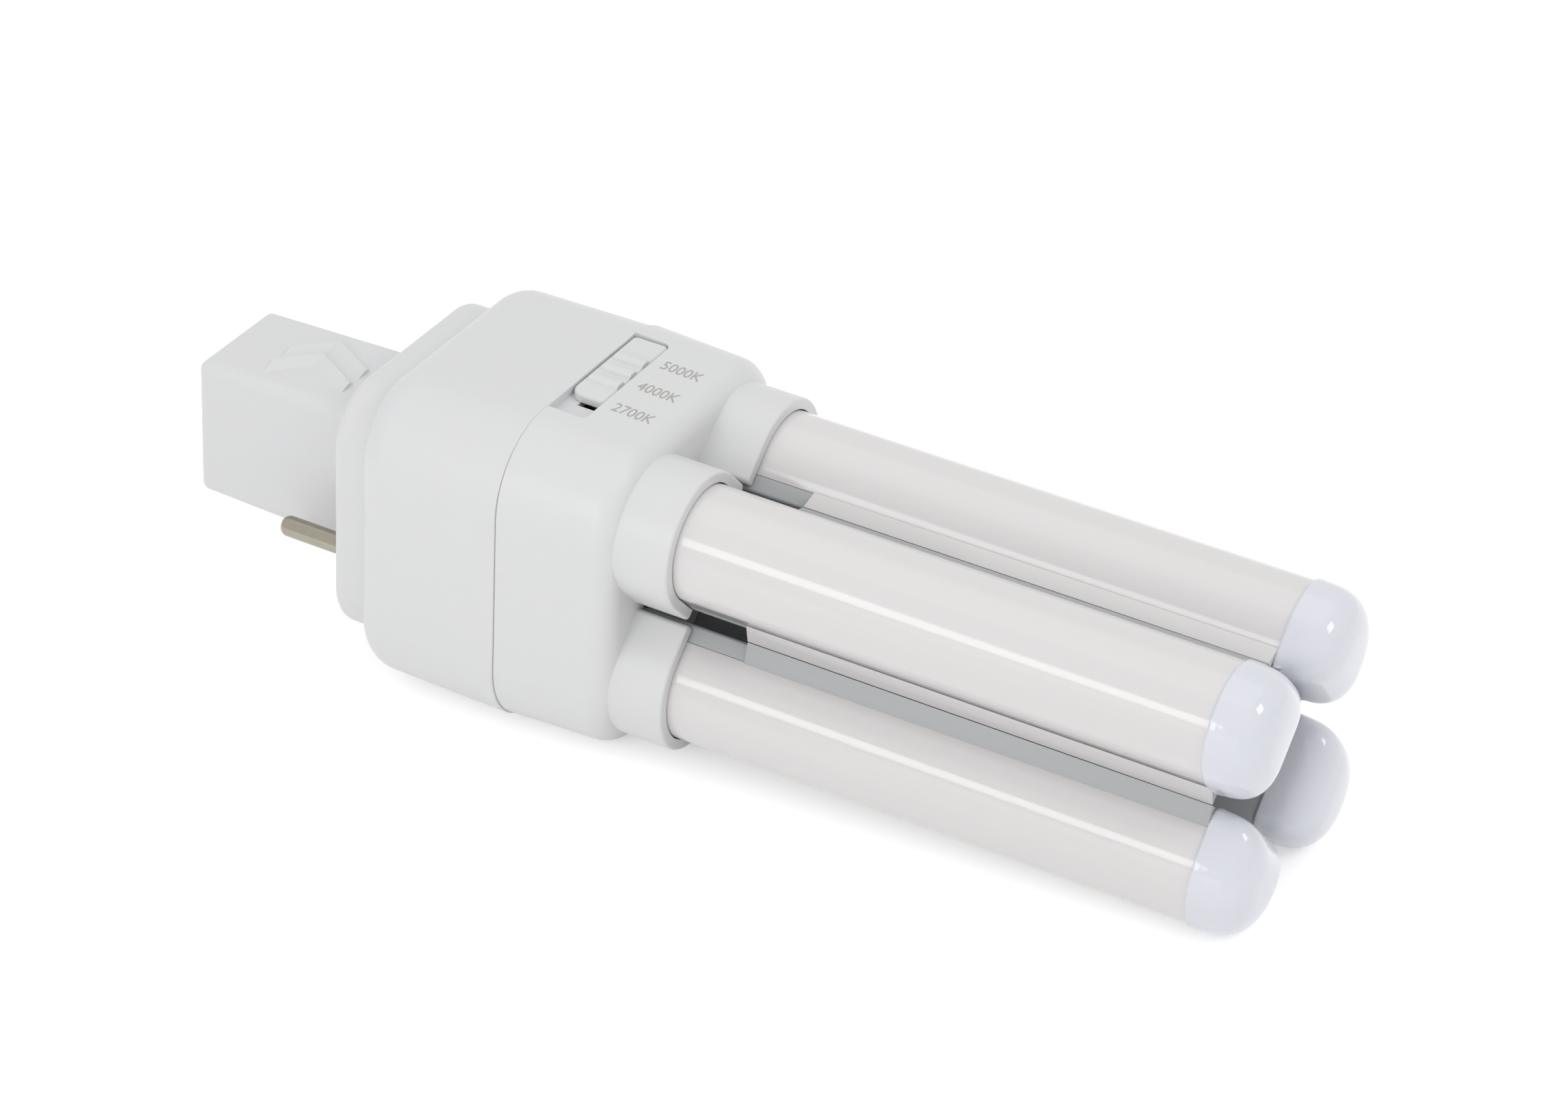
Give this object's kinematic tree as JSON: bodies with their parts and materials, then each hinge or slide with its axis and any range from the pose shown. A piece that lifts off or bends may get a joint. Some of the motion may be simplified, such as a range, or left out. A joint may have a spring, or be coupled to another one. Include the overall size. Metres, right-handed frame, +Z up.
{
  "type": "led plug-in lamp",
  "caption": "Plug-in LED lamp: keyed post and contact pins, square case, parallel U-section light tubes with domed end caps, and a sliding colour selector.",
  "frame": {"origin": "on the lamp axis, in the plane of the plug plate's rear face, which seats on the lampholder", "axes": "+X along the lamp axis towards the tube ends, +Z up at rest with the selector on top, +Y to the back"},
  "size_m": [0.131, 0.037, 0.0372],
  "materials": {
    "case_plastic": "satin white",
    "contact_metal": "nickel plate",
    "lead_sleeve": "smooth",
    "dark_plastic": "satin",
    "switch_can": "plated",
    "board_laminate": "solder mask",
    "ferrite": "matt",
    "tube_aluminium": "matt extruded",
    "strip_aluminium": "white mask",
    "phosphor": "matt",
    "milky_cover": "milky, gloss",
    "cap_plastic": "milky, gloss"
  },
  "bodies": {
    "lamp": {"plug_cap": "case_plastic", "rear_housing": "case_plastic", "front_housing": "case_plastic", "contact_pin_front": "contact_metal", "contact_pin_back": "contact_metal", "pin_lead_front": "lead_sleeve", "pin_lead_back": "lead_sleeve", "selector_switch": "switch_can", "driver_board": "board_laminate", "transformer": "ferrite", "bulk_capacitor": "dark_plastic", "output_capacitor": "dark_plastic", "inductor": "ferrite", "fuse_resistor": "lead_sleeve", "rectifier": "dark_plastic", "heat_sink_back_top": "tube_aluminium", "led_board_back_top": "strip_aluminium", "led_chips_back_top": "phosphor", "diffuser_back_top": "milky_cover", "end_cap_back_top": "cap_plastic", "heat_sink_front_top": "tube_aluminium", "led_board_front_top": "strip_aluminium", "led_chips_front_top": "phosphor", "diffuser_front_top": "milky_cover", "end_cap_front_top": "cap_plastic", "heat_sink_front_bottom": "tube_aluminium", "led_board_front_bottom": "strip_aluminium", "led_chips_front_bottom": "phosphor", "diffuser_front_bottom": "milky_cover", "end_cap_front_bottom": "cap_plastic", "heat_sink_back_bottom": "tube_aluminium", "led_board_back_bottom": "strip_aluminium", "led_chips_back_bottom": "phosphor", "diffuser_back_bottom": "milky_cover", "end_cap_back_bottom": "cap_plastic"},
    "selector": {"selector_slider": "case_plastic", "switch_lever": "dark_plastic"}
  },
  "joints": [
    {"name": "selector_slide", "type": "slide", "parent": "lamp", "child": "selector", "axis": [0, 1, 0], "range_m": [-0.004, 0]}
  ]
}
